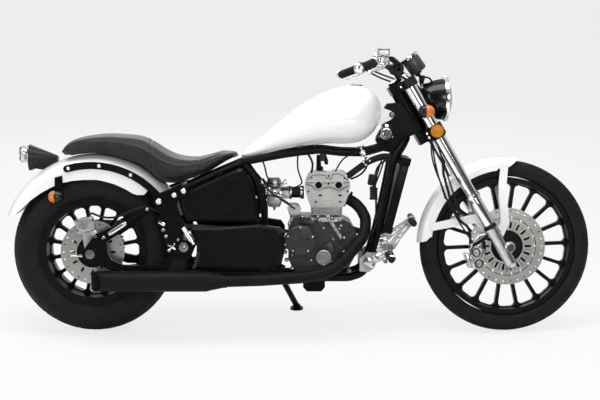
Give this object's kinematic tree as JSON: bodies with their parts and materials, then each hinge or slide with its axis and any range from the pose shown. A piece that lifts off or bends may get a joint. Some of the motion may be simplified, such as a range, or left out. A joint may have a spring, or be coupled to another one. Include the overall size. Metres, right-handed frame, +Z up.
{
  "type": "cruiser motorcycle",
  "caption": "Low black and white cruiser motorcycle with raked fork, disc brakes and fat rear tyre, leaning on its side stand as parked.",
  "frame": {"origin": "on the floor, at the middle of the parked machine's box in plan", "axes": "+X towards the front wheel, +Y to the rider's left (the side it leans to), +Z up from the floor"},
  "size_m": [2.3149, 0.7902, 1.1437],
  "materials": {
    "white_paint": "gloss white enamel",
    "black_paint": "satin black powder coat",
    "gloss_black": "gloss black",
    "chrome": "bright chrome plate",
    "cast_aluminium": "satin cast aluminium",
    "disc_steel": "brushed stainless steel",
    "dark_steel": "oiled chain steel",
    "tyre_rubber": "matt tyre rubber",
    "black_rubber": "moulded black rubber",
    "black_plastic": "moulded black plastic",
    "seat_leather": "black seat leather",
    "clear_glass": "clear lens",
    "amber_glass": "amber lens",
    "engine_black": "satin black engine casting",
    "engine_grey": "dark grey engine casting",
    "satin_black": "satin black paint",
    "matt_black": "heat-resistant matt black"
  },
  "bodies": {
    "chassis": {"frame_neck": "black_paint", "main_frame": "black_paint", "pivot_plates": "black_paint", "swingarm": "black_paint", "rear_axle": "chrome", "chain": "dark_steel", "fuel_tank": "white_paint", "fuel_cap": "chrome", "rear_fender": "white_paint", "fender_struts": "gloss_black", "seat": "seat_leather", "side_covers": "satin_black", "lower_covers": "satin_black", "crankcase": "engine_grey", "cylinder_head": "cast_aluminium", "engine_covers": "engine_grey", "carburettor": "black_plastic", "radiator": "engine_black", "exhaust_pipe": "matt_black", "muffler": "matt_black", "tail_lamp_housing": "black_plastic", "tail_lamp_lens": "clear_glass", "rear_indicators": "amber_glass", "rear_caliper": "cast_aluminium", "rear_master_cylinder": "chrome", "peg_brackets": "cast_aluminium", "peg_rubbers": "black_rubber", "foot_levers": "cast_aluminium", "stand_bracket": "black_paint", "ignition_lock": "chrome"},
    "steering": {"lower_clamp": "black_paint", "upper_clamp": "black_paint", "fork_sleeves": "chrome", "fork_sliders": "chrome", "fork_castings": "cast_aluminium", "front_axle": "chrome", "front_caliper": "cast_aluminium", "front_fender": "white_paint", "fender_stays": "white_paint", "handlebar": "black_paint", "bar_risers": "black_paint", "grips": "black_rubber", "hand_levers": "chrome", "brake_reservoir": "cast_aluminium", "headlamp_shell": "gloss_black", "headlamp_lens": "clear_glass", "speedometer": "gloss_black", "front_indicators": "gloss_black", "front_indicator_lenses": "amber_glass", "fork_reflectors": "amber_glass", "fork_cables": "black_rubber"},
    "front_wheel": {"front_tyre": "tyre_rubber", "front_rim": "gloss_black", "front_disc": "disc_steel"},
    "rear_wheel": {"rear_tyre": "tyre_rubber", "rear_rim": "gloss_black", "rear_disc": "disc_steel", "rear_sprocket": "dark_steel"},
    "side_stand": {"side_stand": "black_paint"}
  },
  "joints": [
    {"name": "steering_turn", "type": "hinge", "parent": "chassis", "child": "steering", "pos_m": [0.75871, -0.07399, 0.30466], "axis": [-0.5, 0.1055, 0.8596], "range_deg": [-36.7, 27.3]},
    {"name": "front_wheel_spin", "type": "hinge", "parent": "steering", "child": "front_wheel", "pos_m": [0.81481, -0.06476, 0.33616], "axis": [-0.071, 0.9842, -0.1621], "continuous": true},
    {"name": "rear_wheel_spin", "type": "hinge", "parent": "chassis", "child": "rear_wheel", "pos_m": [-0.815, -0.07192, 0.32156], "axis": [0, 0.9925, -0.1219], "continuous": true},
    {"name": "side_stand_fold", "type": "hinge", "parent": "chassis", "child": "side_stand", "pos_m": [-0.092, 0.04667, 0.20426], "axis": [0.1483, 0.7729, 0.617], "range_deg": [0, 95]}
  ]
}
